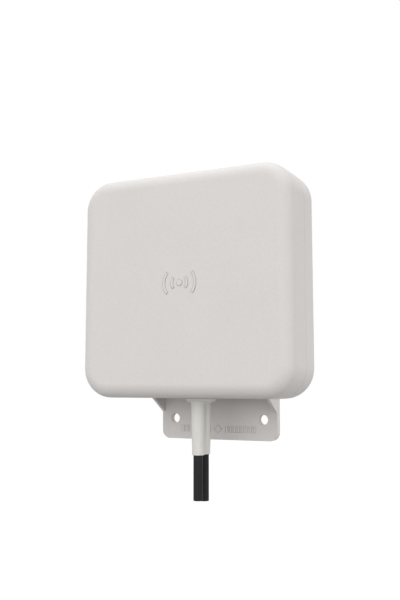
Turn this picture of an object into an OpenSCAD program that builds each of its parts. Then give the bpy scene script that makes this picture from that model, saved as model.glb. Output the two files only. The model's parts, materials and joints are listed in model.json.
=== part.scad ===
// Flat panel antenna on a wall bracket, with two coaxial leads that leave it through a twin boot.
// Millimetres, +Z up. The origin lies on the wall, midway between the bracket's two screw holes.
// The wall is the plane Y = 0 and the front of the housing looks along -Y.

/* [Housing] */
// Width of the housing, side to side
body_w = 153; // [126:1:200]
// Height of the housing
body_h = 150; // [125:1:200]
// Depth of the housing, back to front
body_d = 44; // [36.5:0.5:60]
// Radius of the housing's four upright corners
corner_r = 20; // [16:0.5:26]
// Radius that rolls the sides into the front face
front_r = 9; // [6:0.5:15]
// Radius on the rear cover's back edge
back_r = 1.5; // [0.5:0.1:2]
// Wall thickness of the front radome and of the rear cover's floor
wall = 2.5; // [2:0.1:3]
// Open line between the two halves at the seam
seam_gap = 0.4; // [0.2:0.1:0.6]
// Height of the rear cover's lip inside the radome
lip_h = 3; // [2:0.5:5]
// Thickness of that lip
lip_t = 1.5; // [1:0.1:2]
// Clearance between the lip and the radome's wall
lip_gap = 0.2; // [0.1:0.05:0.4]
// Height that raised marks stand off a surface
mark_h = 0.4; // [0.2:0.1:0.8]

/* [Rim gasket] */
// Width of the gasket
gasket_w = 1.3; // [0.8:0.1:1.6]
// Depth of the groove in the rear cover's rim
groove_d = 1.2; // [0.8:0.1:2]

/* [Wall bracket] */
// Distance between the two wall holes
hole_spacing = 68; // [56:1:82]
// Diameter of the wall holes
hole_d = 6.9; // [5:0.1:8.5]
// Distance from each wall hole's middle to the plate's side
hole_margin = 10.3; // [8:0.1:14]
// Thickness of the wall plate
plate_t = 5.2; // [4.3:0.1:8]
// Height of the plate's upper edge above the wall holes
plate_rise = 105; // [87:1:126]
// Depth of the plate's lower edge below the wall holes
plate_drop = 14.5; // [11:0.5:20]
// Radius of the plate's corners
plate_corner_r = 6; // [3:0.5:9]
// Distance from the wall to the housing's back
standoff = 22; // [18:0.5:30]
// Height of the housing's lower side above the wall holes
body_rise = 15; // [12:0.5:24]
// Thickness of the bracket's side and top walls
side_t = 2; // [1.5:0.1:3]
// Height of the side walls' lower corner where they meet the plate
side_foot = 4; // [2:0.5:9]
// Outer diameter of the spacer tubes round the bracket's screws
tube_d = 10; // [9.2:0.2:12]
// Distance from each tube's middle to the plate's side
tube_margin = 14.3; // [10:0.1:18]
// Height of the lower tubes above the housing's lower side
tube_inset = 20; // [16:0.5:28]
// Distance from the upper tubes to the plate's upper edge
tube_top_margin = 15; // [9:0.5:24]

/* [Leads and boot] */
// Outer diameter of each coaxial lead
lead_d = 6.4; // [5:0.1:7.7]
// Length of each lead that shows below the boot
lead_show = 29.6; // [20:0.1:60]
// How much lower the rear lead is cut than the front one
rear_lead_extra = 1.3; // [0:0.1:6]
// Wall of the boot round each lead at its top
boot_wall = 1.5; // [1.2:0.1:1.8]
// Wall of the boot round each lead at its lower end
boot_low_wall = 0.9; // [0.6:0.1:1.2]
// Length of the boot below the housing
boot_l = 37.5; // [25:0.5:60]
// Overhang of the boot's round flange past its two lobes
flange_lip = 1.1; // [0.8:0.1:1.4]
// Thickness of that flange
flange_t = 2.3; // [1.5:0.1:4]
// Overhang of the boot's inner lip, which keeps it in the housing
boot_lip = 2.8; // [1.5:0.1:4]

/* [Antenna stack] */
// Distance from the reflector to the housing's left and right sides
reflector_side = 18; // [12:0.5:22]
// Distance from the reflector to the housing's upper and lower sides
reflector_end = 23; // [18:0.5:28]
// Thickness of the reflector and the director sheets
sheet_t = 1; // [0.8:0.1:1.2]
// Depth of the reflector's folded sides
fold_d = 8; // [4:0.5:10]
// Side of the square radiator board
radiator_w = 66; // [55:1:80]
// Side of the square director sheet
director_w = 54; // [48:1:65]
// Distance between neighbouring support posts
post_pitch = 40; // [36:1:44]
// Thickness of the circuit boards
board_t = 1.2; // [0.8:0.1:1.6]
// Thickness of the copper on the radiator board
copper_t = 0.3; // [0.2:0.1:0.4]

/* [Fasteners] */
// Shank diameter of the small screws inside the housing
small_screw_d = 2.4; // [2:0.1:2.6]
// Shank diameter of the screws that close the housing
cover_screw_d = 3; // [2.5:0.1:3.6]
// Shank diameter of the screws that hold the bracket to the housing
bracket_screw_d = 4; // [3:0.1:4.6]

/* [Hidden] */
$fn = 64;

// Small distances
over = 1;          // how far a cutting tool runs past the surface it cuts
fit = 0.15;        // clearance round a piece that slips into a hole or a notch
layer_gap = 0.05;  // clearance between a lead's layers, and round the gasket and the inserts
sides = [-1, 1];

// The boot's two lobes touch, one behind the other, and the seam runs through the boot's middle
lead_r = lead_d / 2;
lobe_r = lead_r + boot_wall;
lobe_low_r = lead_r + boot_low_wall;
lead_pitch = 2 * lobe_r;
flange_r = lead_pitch / 2 + lobe_r + flange_lip;
floor_clear = 0.6; // between the rear lead and the rear cover's floor
rear_d = wall + floor_clear + lead_r + lead_pitch / 2;

// Heights and depths that several pieces share (a depth is the distance from the wall, along -Y)
body_mid = body_rise + body_h / 2;
seam = standoff + rear_d;
front = standoff + body_d;
floor_in = standoff + wall;
front_in = front - wall;
radome_back = seam + seam_gap;
radome_d = front - radome_back;
rear_wall = wall + lip_gap + lip_t;
gasket_in = (wall - gasket_w) / 2;
bottom_in = body_rise + wall;
boot_low = body_rise - boot_l;
lead_lows = [boot_low - lead_show, boot_low - lead_show - rear_lead_extra]; // front lead, rear lead

// Screw posts of the housing: one in each corner and one half way up each side
post_r = 4;
post_sink = 1;     // how far a post's side runs into the wall
post_past_roll = 3;
post_front = front - front_r + post_past_roll;
post_out = (corner_r - wall + post_sink - post_r) / sqrt(2);
cover_posts = concat(
    [for (x = sides, z = sides) [
        x * (body_w / 2 - corner_r + post_out),
        body_mid + z * (body_h / 2 - corner_r + post_out)
    ]],
    [for (x = sides) [x * (body_w / 2 - wall + post_sink - post_r), body_mid]]
);
cover_head_r = 2.8;
cover_head_h = 2;
cover_head_at = 1;       // the heads lie this far inside the rear cover's back
cover_bite = 9.6;        // how far the screws reach past the seam

// Bracket, its spacer tubes and its screws
plate_w = hole_spacing + 2 * hole_margin;
tubes = [
    for (x = sides, z = [body_rise + tube_inset, plate_rise - tube_top_margin])
        [x * (plate_w / 2 - tube_margin), z]
];
insert_r = bracket_screw_d / 2 + 0.8;
insert_l = 7;
insert_boss_r = insert_r + 1.7;
insert_top = floor_in + insert_l;
bracket_head_r = bracket_screw_d / 2 + 1.8;
bracket_head_h = 2.6;
bracket_head_at = 0.6;   // the heads lie this far inside the plate's back
bracket_screw_l = insert_top - 2.3 - bracket_head_at - bracket_head_h;

// Reflector, in front of the leads
lead_clear = 1.1;
reflector_w = body_w - 2 * reflector_side;
reflector_h = body_h - 2 * reflector_end;
reflector_y = seam + lead_pitch / 2 + lead_r + lead_clear;
reflector_front = reflector_y + sheet_t;
reflector_r = 4;
fold_h = reflector_h - 4 * reflector_r;
reflector_posts = [
    for (x = sides, z = sides) [x * (reflector_w / 2 - 10), body_mid + z * (reflector_h / 2 - 8)]
];
reflector_post_r = 3.5;

// Radiator board and director, which share the depth that the radome leaves them
headroom = 2.5;          // between the director's front and the radome
stack_d = front_in - headroom - reflector_front;
radiator_y = reflector_front + 0.59 * stack_d;
radiator_front = radiator_y + board_t;
director_y = front_in - headroom - sheet_t;
support_spots = [for (x = sides, z = sides) [x * post_pitch / 2, body_mid + z * post_pitch / 2]];
support_r = 3;
support_neck_r = 1.9;
support_bore_r = small_screw_d / 2 - 0.2;
support_l = director_y - reflector_front;
support_back_bore_l = min(7, support_l / 2 - 0.4);    // the bores from both ends never meet
support_front_bore_l = min(5, support_l / 2 - 0.4);
small_head_r = 2.3;
small_head_h = 1.4;
stem_w = 40;
feed_w = 28;
feed_h = 56;
feed_y = reflector_y - board_t;
feed_low = body_mid - feed_h / 2;

// Layers of a lead, as shares of the jacket's radius, and where each one ends under the feed board
lead_y = [seam + lead_pitch / 2, seam - lead_pitch / 2];   // front lead, rear lead
braid_r = 0.75 * lead_r;
dielectric_r = 0.62 * lead_r;
core_r = 0.22 * lead_r;
jacket_top = feed_low - 17;
braid_top = feed_low - 11;
dielectric_top = feed_low - 2;
core_tops = [feed_low + 3, feed_low + 11];
ferrule_r = lead_r + 0.3;
ferrule_low = jacket_top - 2;
ferrule_top = jacket_top + 4;

// Lead clamp: a bar over the front lead, on two posts of the rear cover
clamp_ferrule_gap = 1.5;    // at least this much between the bar and a ferrule above it
clamp_post_x = lead_r + 6.3;
clamp_post_r = 2.8;
clamp_w = 2 * (clamp_post_x + 4);
clamp_h = 8;
clamp_z = min(body_rise + 14, ferrule_low - clamp_ferrule_gap - clamp_h / 2);
clamp_t = 3;
clamp_grip = 1.6;        // how far the bar's back lies behind the front lead's front
clamp_back = seam + lead_pitch / 2 + lead_r - clamp_grip;

// Vent
vent_z = body_rise + body_h - 22;
vent_r = 3;
vent_cap_r = 5.5;
vent_cap_h = 1.6;

// Colours
shell = [0.86, 0.84, 0.82];
boot_grey = [0.83, 0.83, 0.81];
black = [0.17, 0.17, 0.18];
steel = [0.75, 0.76, 0.78];
metal = [0.80, 0.81, 0.82];
gold = [0.80, 0.66, 0.35];
board_green = [0.16, 0.36, 0.24];
white = [0.93, 0.93, 0.90];

// ---------------------------------------------------------------- helpers

// Turns a shape drawn flat, with its depth along +Z, so that its depth runs from the wall forwards
module forwards(depth = 0, x = 0, z = 0) {
    translate([x, -depth, z]) rotate([90, 0, 0]) children();
}

// A round bar or hole that runs forwards from one depth to another
module rod_y(r, y0, y1, x = 0, z = 0) {
    forwards(y0, x, z) cylinder(r = r, h = y1 - y0);
}

// A round bar or hole that stands upright from one height to another
module rod_z(r, z0, z1, depth, r_top = undef) {
    translate([0, -depth, z0])
        cylinder(r1 = r, r2 = is_undef(r_top) ? r : r_top, h = z1 - z0);
}

// A box from its low and high corners, with depths measured from the wall
module box(x0, x1, y0, y1, z0, z1) {
    translate([x0, -y1, z0]) cube([x1 - x0, y1 - y0, z1 - z0]);
}

// A rectangle with round corners, centred
module rounded(w, h, r) {
    union() {
        square([w - 2 * r, h], center = true);
        square([w, h - 2 * r], center = true);
        for (x = sides, y = sides)
            translate([x * (w / 2 - r), y * (h / 2 - r)]) circle(r);
    }
}

// A quarter of a pillow's section: its outer top corner is round
module edge_profile(reach, depth, r) {
    intersection() {
        square([reach, depth]);
        union() {
            square([reach - r, depth]);
            square([reach, depth - r]);
            translate([reach - r, depth - r]) circle(r);
        }
    }
}

// A block with round upright corners whose side walls roll into its top face
module pillow(w, h, depth, corner, r) {
    cx = w / 2 - corner;
    cy = h / 2 - corner;
    union() {
        for (y = [0, 1]) mirror([0, y, 0])
            rotate([90, 0, 90]) linear_extrude(2 * cx, center = true) edge_profile(h / 2, depth, r);
        for (x = [0, 1]) mirror([x, 0, 0]) {
            translate([cx, 0, 0]) rotate([90, 0, 0])
                linear_extrude(2 * cy, center = true) edge_profile(corner, depth, r);
            for (y = [0, 1]) mirror([0, y, 0])
                translate([cx, cy, 0]) rotate_extrude(angle = 90) edge_profile(corner, depth, r);
        }
    }
}

// A flat ring that follows the housing's outline, between two distances from its outside
module rim(y0, y1, inset0, inset1) {
    forwards(y0, 0, body_mid) linear_extrude(y1 - y0) difference() {
        rounded(body_w - 2 * inset0, body_h - 2 * inset0, corner_r - inset0);
        rounded(body_w - 2 * inset1, body_h - 2 * inset1, corner_r - inset1);
    }
}

// The twin outline of the boot, as two upright cylinders and the web between them
module twin(r, z0, z1) {
    for (y = lead_y) rod_z(r, z0, z1, y);
    box(-r, r, lead_y[1], lead_y[0], z0, z1);
}

// The boot's inner lip, with its clearance where it is cut out of the housing
module inner_lip(clearance, h) {
    reach = lead_pitch / 2 + lobe_r + clearance;
    half_w = lobe_r + boot_lip + clearance;
    box(-half_w, half_w, seam - reach, seam + reach, bottom_in, bottom_in + h);
}

// The room that the boot's neck and inner lip take in the housing's lower side
module boot_notch() {
    twin(lobe_r + fit, body_rise - over, bottom_in + over);
    inner_lip(fit, 2.4);
}

// A pan-head screw that points forwards from its head's back
module pan_screw(head_r, head_h, shank_r, length, depth, x, z) {
    rod_y(head_r, depth, depth + head_h, x, z);
    rod_y(shank_r, depth + head_h, depth + head_h + length, x, z);
}

// The same screw pointing back towards the wall from its head's front
module pan_screw_back(head_r, head_h, shank_r, length, depth, x, z) {
    rod_y(head_r, depth - head_h, depth, x, z);
    rod_y(shank_r, depth - head_h - length, depth - head_h, x, z);
}

// ---------------------------------------------------------------- housing

// A dot with two arcs on either side of it, as a plain sign for radio waves
module wave_mark() {
    stroke = 1.5;
    union() {
        circle(2);
        for (side = [0, 1], r = [6.2, 12]) mirror([side, 0]) intersection() {
            difference() {
                circle(r);
                circle(r - stroke);
            }
            polygon([[0, 0], [2 * r, -1.5 * r], [2 * r, 1.5 * r]]);
        }
    }
}

module front_radome() {
    color(shell) difference() {
        union() {
            difference() {
                forwards(radome_back, 0, body_mid)
                    pillow(body_w, body_h, radome_d, corner_r, front_r);
                forwards(radome_back - over, 0, body_mid)
                    pillow(body_w - 2 * wall, body_h - 2 * wall, radome_d + over - wall,
                           corner_r - wall, front_r - wall);
            }
            for (p = cover_posts) rod_y(post_r, radome_back, post_front, p[0], p[1]);
            forwards(front - mark_h, 0, body_mid) linear_extrude(2 * mark_h) wave_mark();
        }
        for (p = cover_posts)
            rod_y(cover_screw_d / 2, radome_back - over, seam + cover_bite + over, p[0], p[1]);
        boot_notch();
    }
}

module rear_cover() {
    color(shell) difference() {
        union() {
            difference() {
                translate([0, -seam, body_mid]) rotate([-90, 0, 0])
                    pillow(body_w, body_h, rear_d, corner_r, back_r);
                forwards(floor_in, 0, body_mid) linear_extrude(rear_d)
                    rounded(body_w - 2 * rear_wall, body_h - 2 * rear_wall, corner_r - rear_wall);
            }
            difference() {
                rim(seam - over, seam + lip_h, wall + lip_gap, rear_wall);
                for (p = cover_posts) rod_y(post_r + fit, radome_back, seam + lip_h + over, p[0], p[1]);
            }
            for (p = cover_posts) rod_y(post_r, floor_in - over, radome_back, p[0], p[1]);
            for (p = reflector_posts) rod_y(reflector_post_r, floor_in - over, reflector_y, p[0], p[1]);
            for (p = tubes) rod_y(insert_boss_r, floor_in - over, insert_top, p[0], p[1]);
            for (x = sides)
                rod_y(clamp_post_r, floor_in - over, clamp_back, x * clamp_post_x, clamp_z);
        }
        rim(seam - groove_d, seam + over, gasket_in - layer_gap, gasket_in + gasket_w + layer_gap);
        for (p = cover_posts) {
            rod_y(cover_screw_d / 2 + fit, standoff - over, radome_back + over, p[0], p[1]);
            rod_y(cover_head_r + 2 * fit, standoff - over, standoff + cover_head_at + cover_head_h,
                  p[0], p[1]);
        }
        for (p = reflector_posts)
            rod_y(small_screw_d / 2, reflector_y - 9, reflector_y + over, p[0], p[1]);
        for (p = tubes) rod_y(insert_r, standoff - over, insert_top + over, p[0], p[1]);
        for (x = sides)
            rod_y(small_screw_d / 2, clamp_back - 9, clamp_back + over, x * clamp_post_x, clamp_z);
        rod_y(vent_r, standoff - over, floor_in + over, 0, vent_z);
        boot_notch();
    }
}

module rim_gasket() {
    color(black) difference() {
        rim(seam - groove_d, radome_back, gasket_in, gasket_in + gasket_w);
        boot_notch();
    }
}

module cover_screws() {
    color(steel) for (p = cover_posts)
        pan_screw(cover_head_r, cover_head_h, cover_screw_d / 2,
                  rear_d + cover_bite - cover_head_at - cover_head_h, standoff + cover_head_at, p[0], p[1]);
}

module vent_plug() {
    color(shell) {
        rod_y(vent_r, standoff, floor_in + 1.2, 0, vent_z);
        rod_y(vent_cap_r, standoff - vent_cap_h, standoff, 0, vent_z);
    }
}

// ---------------------------------------------------------------- bracket

// The side walls' outline, drawn in depth and height
module side_outline() {
    polygon([
        [plate_t - over, side_foot],
        [plate_t, side_foot],
        [standoff, body_rise],
        [standoff, plate_rise],
        [plate_t - over, plate_rise]
    ]);
}

// A plain row of raised bars with a diamond in its middle
module plate_marks() {
    bar_w = 3;
    bar_pitch = 5.4;
    bar_h = 2.4;
    forwards(plate_t - mark_h, 0, -7) linear_extrude(mark_h + 0.3) {
        rotate(45) square(3, center = true);
        for (x = sides, i = [1:4])
            translate([x * i * bar_pitch - bar_w / 2, -bar_h / 2]) square([bar_w, bar_h]);
    }
}

module wall_bracket() {
    color(shell) difference() {
        union() {
            forwards(0, 0, (plate_rise - plate_drop) / 2) linear_extrude(plate_t)
                rounded(plate_w, plate_rise + plate_drop, plate_corner_r);
            difference() {
                for (x = [-plate_w / 2, plate_w / 2 - side_t])
                    translate([x, 0, 0]) rotate([90, 0, 90]) mirror([1, 0])
                        linear_extrude(side_t) side_outline();
                upper_corners();
            }
            box(-plate_w / 2 + plate_corner_r, plate_w / 2 - plate_corner_r,
                plate_t - over, standoff, plate_rise - side_t, plate_rise);
            upper_arcs();
            for (p = tubes) rod_y(tube_d / 2, plate_t - over, standoff, p[0], p[1]);
            plate_marks();
        }
        for (x = sides) rod_y(hole_d / 2, -over, plate_t + over, x * hole_spacing / 2, 0);
        for (p = tubes) {
            rod_y(bracket_screw_d / 2 + fit, -over, standoff + over, p[0], p[1]);
            rod_y(bracket_head_r + fit, -over, bracket_head_at + bracket_head_h, p[0], p[1]);
        }
    }
}

// The square blocks that the side walls leave free where the bracket's upper corners are round
module upper_corners() {
    for (x = [0, 1]) mirror([x, 0, 0])
        box(plate_w / 2 - plate_corner_r, plate_w / 2 + over, 0, standoff + over,
            plate_rise - plate_corner_r, plate_rise + over);
}

// The round walls that join the top wall to the side walls
module upper_arcs() {
    for (x = [0, 1]) mirror([x, 0, 0])
        translate([plate_w / 2 - plate_corner_r, -plate_t + over, plate_rise - plate_corner_r])
            rotate([90, 0, 0]) linear_extrude(standoff - plate_t + over) intersection() {
                difference() {
                    circle(plate_corner_r);
                    circle(plate_corner_r - side_t);
                }
                square(plate_corner_r);
            }
}

module bracket_screws() {
    color(steel) for (p = tubes)
        pan_screw(bracket_head_r, bracket_head_h, bracket_screw_d / 2, bracket_screw_l,
                  bracket_head_at, p[0], p[1]);
}

module bracket_inserts() {
    color(gold) for (p = tubes) difference() {
        rod_y(insert_r - layer_gap, standoff + 2 * fit, insert_top, p[0], p[1]);
        rod_y(bracket_screw_d / 2 + layer_gap, standoff - over, insert_top + over, p[0], p[1]);
    }
}

// ---------------------------------------------------------------- antenna stack

module reflector_tray() {
    color(metal) difference() {
        union() {
            forwards(reflector_y, 0, body_mid) linear_extrude(sheet_t)
                rounded(reflector_w, reflector_h, reflector_r);
            for (x = [-reflector_w / 2, reflector_w / 2 - sheet_t])
                box(x, x + sheet_t, reflector_y, reflector_front + fold_d,
                    body_mid - fold_h / 2, body_mid + fold_h / 2);
        }
        for (p = concat(reflector_posts, support_spots))
            rod_y(small_screw_d / 2 + fit, reflector_y - over, reflector_front + over, p[0], p[1]);
    }
}

module reflector_screws() {
    color(steel) for (p = reflector_posts)
        pan_screw_back(small_head_r, small_head_h, small_screw_d / 2, 8,
                       reflector_front + small_head_h, p[0], p[1]);
}

module feed_board() {
    color(board_green) forwards(feed_y, 0, body_mid) linear_extrude(board_t) rounded(feed_w, feed_h, 2);
}

// A stem board stands on the reflector. Its half slot lets the other stem board cross it.
module stem_board(slot_at_front) {
    slot = board_t / 2 + fit;
    middle = (reflector_front + radiator_y) / 2;
    difference() {
        box(-stem_w / 2, stem_w / 2, reflector_front, radiator_y, -board_t / 2, board_t / 2);
        if (slot_at_front) box(-slot, slot, middle, radiator_y + over, -over, over);
        else box(-slot, slot, reflector_front - over, middle, -over, over);
    }
}

module stem_board_upright() {
    color(board_green) translate([0, 0, body_mid]) rotate([0, 90, 0]) stem_board(true);
}

module stem_board_level() {
    color(board_green) translate([0, 0, body_mid]) stem_board(false);
}

module radiator_board() {
    color(board_green) difference() {
        forwards(radiator_y, 0, body_mid) linear_extrude(board_t) rounded(radiator_w, radiator_w, 3);
        for (p = support_spots)
            rod_y(support_neck_r + fit, radiator_y - over, radiator_front + over, p[0], p[1]);
    }
}

// Two flared copper arms that point away from each other
module arms() {
    inner = 2;
    tip = radiator_w / 2 - 3;
    forwards(radiator_front) linear_extrude(copper_t) for (side = [0, 1]) mirror([0, side])
        polygon([[-1, inner], [1, inner], [11, tip - 4], [11, tip], [-11, tip], [-11, tip - 4]]);
}

module arms_upright() {
    color(gold) translate([0, 0, body_mid]) arms();
}

module arms_level() {
    color(gold) translate([0, 0, body_mid]) rotate([0, 90, 0]) arms();
}

module director_plate() {
    color(metal) difference() {
        forwards(director_y, 0, body_mid) linear_extrude(sheet_t) rounded(director_w, director_w, 5);
        for (p = support_spots)
            rod_y(small_screw_d / 2 + fit, director_y - over, director_y + sheet_t + over, p[0], p[1]);
    }
}

module support_posts() {
    color(white) for (p = support_spots) difference() {
        union() {
            rod_y(support_r, reflector_front, radiator_y, p[0], p[1]);
            rod_y(support_neck_r, radiator_y, director_y, p[0], p[1]);
        }
        rod_y(support_bore_r, reflector_front - over, reflector_front + support_back_bore_l,
              p[0], p[1]);
        rod_y(support_bore_r, director_y - support_front_bore_l, director_y + over, p[0], p[1]);
    }
}

module post_screws() {
    color(steel) for (p = support_spots)
        pan_screw(small_head_r, small_head_h, support_bore_r - layer_gap, support_back_bore_l,
                  reflector_y - small_head_h, p[0], p[1]);
}

module director_screws() {
    color(steel) for (p = support_spots)
        pan_screw_back(small_head_r, small_head_h, support_bore_r - layer_gap,
                       support_front_bore_l, director_y + sheet_t + small_head_h, p[0], p[1]);
}

// ---------------------------------------------------------------- leads and boot

module cable_boot() {
    flange_low = body_rise - flange_t;
    chamfer = 0.8;
    color(boot_grey) difference() {
        union() {
            for (y = lead_y) rod_z(lobe_low_r, boot_low, flange_low, y, lobe_r);
            box(-lobe_low_r / 2, lobe_low_r / 2, lead_y[1], lead_y[0], boot_low, flange_low + over);
            rod_z(flange_r - chamfer, flange_low, flange_low + chamfer, seam, flange_r);
            rod_z(flange_r, flange_low + chamfer, body_rise, seam);
            twin(lobe_r, body_rise - over, bottom_in);
            inner_lip(0, 2.2);
        }
        for (y = lead_y) rod_z(lead_r + layer_gap, boot_low - over, bottom_in + 3, y);
    }
}

module lead_clamp() {
    color(black) difference() {
        box(-clamp_w / 2, clamp_w / 2, clamp_back, clamp_back + clamp_t,
            clamp_z - clamp_h / 2, clamp_z + clamp_h / 2);
        rod_z(lead_r + layer_gap, clamp_z - clamp_h, clamp_z + clamp_h, lead_y[0]);
        for (x = sides)
            rod_y(small_screw_d / 2 + fit, clamp_back - over, clamp_back + clamp_t + over,
                  x * clamp_post_x, clamp_z);
    }
}

module clamp_screws() {
    color(steel) for (x = sides)
        pan_screw_back(small_head_r, small_head_h, small_screw_d / 2, 9,
                       clamp_back + clamp_t + small_head_h, x * clamp_post_x, clamp_z);
}

// One layer of a lead, as an upright tube
module layer(outer_r, inner_r, top, i) {
    difference() {
        rod_z(outer_r, lead_lows[i], top, lead_y[i]);
        rod_z(inner_r + layer_gap, lead_lows[i] - over, top + over, lead_y[i]);
    }
}

module jacket(i) {
    color(black) layer(lead_r, braid_r, jacket_top, i);
}

module braid(i) {
    color(metal) layer(braid_r, dielectric_r, braid_top, i);
}

module dielectric(i) {
    color(white) layer(dielectric_r, core_r, dielectric_top, i);
}

// The core turns forwards above the lead and ends on the feed board
module core(i) {
    color(gold) union() {
        rod_z(core_r, lead_lows[i], core_tops[i], lead_y[i]);
        translate([0, -lead_y[i], core_tops[i]]) sphere(core_r);
        rod_y(core_r, lead_y[i], feed_y, 0, core_tops[i]);
    }
}

// A crimped sleeve that covers the end of the jacket and the bared braid
module ferrule(i) {
    color(gold) difference() {
        rod_z(ferrule_r, ferrule_low, ferrule_top, lead_y[i]);
        rod_z(lead_r + layer_gap, ferrule_low - over, jacket_top, lead_y[i]);
        rod_z(braid_r + layer_gap, ferrule_low - over, ferrule_top + over, lead_y[i]);
    }
}

module jacket_front() { jacket(0); }
module jacket_rear() { jacket(1); }
module braid_front() { braid(0); }
module braid_rear() { braid(1); }
module dielectric_front() { dielectric(0); }
module dielectric_rear() { dielectric(1); }
module core_front() { core(0); }
module core_rear() { core(1); }
module ferrule_front() { ferrule(0); }
module ferrule_rear() { ferrule(1); }

front_radome();
rear_cover();
rim_gasket();
cover_screws();
vent_plug();
wall_bracket();
bracket_screws();
bracket_inserts();
reflector_tray();
reflector_screws();
feed_board();
stem_board_upright();
stem_board_level();
radiator_board();
arms_upright();
arms_level();
director_plate();
support_posts();
post_screws();
director_screws();
cable_boot();
lead_clamp();
clamp_screws();
jacket_front();
jacket_rear();
braid_front();
braid_rear();
dielectric_front();
dielectric_rear();
core_front();
core_rear();
ferrule_front();
ferrule_rear();
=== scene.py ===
"""Looks of an enclosed flat panel antenna on its wall bracket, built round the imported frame.

Every piece is in metres and in the frame's own axes: the wall is the plane Y = 0, the housing
looks along -Y, and +Z is up. Sizes are written in millimetres and turned to metres by MM.
"""
import json
import logging
import math
from dataclasses import dataclass, field
from enum import Enum
from typing import Callable, Sequence, Union

import bmesh
import bpy
from mathutils import Euler, Matrix, Vector


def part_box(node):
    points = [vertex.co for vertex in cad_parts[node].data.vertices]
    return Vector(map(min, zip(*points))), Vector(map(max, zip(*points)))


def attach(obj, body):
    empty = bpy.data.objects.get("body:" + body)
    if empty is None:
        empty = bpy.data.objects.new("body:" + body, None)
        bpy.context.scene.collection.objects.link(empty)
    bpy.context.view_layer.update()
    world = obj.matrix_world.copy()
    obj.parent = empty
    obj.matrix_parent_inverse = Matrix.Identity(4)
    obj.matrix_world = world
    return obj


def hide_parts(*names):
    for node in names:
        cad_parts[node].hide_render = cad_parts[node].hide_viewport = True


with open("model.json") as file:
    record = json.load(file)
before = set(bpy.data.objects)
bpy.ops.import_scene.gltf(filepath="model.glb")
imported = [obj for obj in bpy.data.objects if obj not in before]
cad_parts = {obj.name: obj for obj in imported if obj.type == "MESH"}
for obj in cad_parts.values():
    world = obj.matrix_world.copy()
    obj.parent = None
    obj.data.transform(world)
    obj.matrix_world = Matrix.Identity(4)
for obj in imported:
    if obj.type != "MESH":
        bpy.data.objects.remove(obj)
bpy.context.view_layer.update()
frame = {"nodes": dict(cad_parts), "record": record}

MM = 0.001
BODY = "root"
# How far a tool reaches past what it cuts
PAST = 1 * MM
# A face is square to an axis when its normal lies along it by at least this much
SQUARE = 0.999
# The narrow moat round each raised mark
MOAT_W = 0.3 * MM
MOAT_D = 0.45 * MM
# The front and the rear lead's places along Y
LEAD_Y = (-37.7 * MM, -28.3 * MM)
# A pan head from its middle to its seat, in parts of its radius and of its height
PAN_HEAD = ((0.35, 0.0), (0.72, 0.06), (0.9, 0.22), (1.0, 0.5), (1.0, 1.0))
# The span that most of a noise texture's values lie in
NOISE_SPAN = (0.3, 0.7)
WHITE = (1, 1, 1, 1)
log = logging.getLogger("antenna")

Piece = bpy.types.Object
Socket = bpy.types.NodeSocket
Point = Sequence[float]
Outline = Sequence[tuple[float, float]]
Places = list[tuple[float, float]]
Value = Union[float, int, str, bool, Sequence[float], Socket]


@dataclass(frozen=True)
class Reach:
    """How much wider raised shapes are on each side, and their front and back along Y."""

    grow: float
    top: float
    foot: float


# ---------------------------------------------------------------- shaping with operators


class Along(Enum):
    """The axis that a turned piece stands on."""

    FORWARDS = "forwards"
    UPRIGHT = "upright"


class Joint(Enum):
    """How a second shape changes the first."""

    CUT = "DIFFERENCE"
    WELD = "UNION"


def clear_selection() -> None:
    """Goes back to object mode with nothing selected."""
    if bpy.context.object is not None and bpy.context.object.mode != "OBJECT":
        bpy.ops.object.mode_set(mode="OBJECT")
    bpy.ops.object.select_all(action="DESELECT")


def take(piece: Piece) -> None:
    """Makes a piece the only selected object and the active one.

    Args:
        piece: The object to work on.
    """
    clear_selection()
    piece.select_set(True)
    bpy.context.view_layer.objects.active = piece


def settle(name: str) -> Piece:
    """Names the active object and puts its place into its mesh.

    Args:
        name: The piece's name.

    Returns:
        The named object, at the origin, unturned and unscaled.
    """
    piece = bpy.context.object
    piece.name = piece.data.name = name
    take(piece)
    bpy.ops.object.transform_apply(location=True, rotation=True, scale=True)
    return piece


def edit(piece: Piece) -> None:
    """Takes a piece into edit mode."""
    take(piece)
    bpy.ops.object.mode_set(mode="EDIT")


def leave() -> None:
    """Goes back to object mode."""
    bpy.ops.object.mode_set(mode="OBJECT")


def pick(piece: Piece, kind: str, test: Callable[..., bool]) -> None:
    """Selects what passes a test, and nothing else, in edit mode.

    Args:
        piece: The object in edit mode.
        kind: Either faces, edges or verts.
        test: Takes a face's middle and normal, an edge's two ends, or a vertex's place.
    """
    facts = {"faces": lambda face: (face.calc_center_median(), face.normal),
             "edges": lambda edge: (edge.verts[0].co, edge.verts[1].co),
             "verts": lambda vertex: (vertex.co,)}[kind]
    mesh = bmesh.from_edit_mesh(piece.data)
    bpy.ops.mesh.select_all(action="DESELECT")
    for found in [item for item in getattr(mesh, kind) if test(*facts(item))]:
        found.select_set(True)
    if kind == "verts":
        mesh.select_flush(True)
    bmesh.update_edit_mesh(piece.data)


def near(a: float, b: float) -> bool:
    """Whether two lengths are the same to a hundredth of a millimetre."""
    return abs(a - b) < 0.01 * MM


def block(name: str, low: Point, high: Point) -> Piece:
    """Adds a box between two corners.

    Args:
        name: The piece's name.
        low: Its lowest corner, in metres.
        high: Its highest corner, in metres.

    Returns:
        The new object.
    """
    clear_selection()
    middle = [(a + b) / 2 for a, b in zip(low, high)]
    size = [b - a for a, b in zip(low, high)]
    bpy.ops.mesh.primitive_cube_add(size=1, location=middle, scale=size)
    return settle(name)


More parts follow.
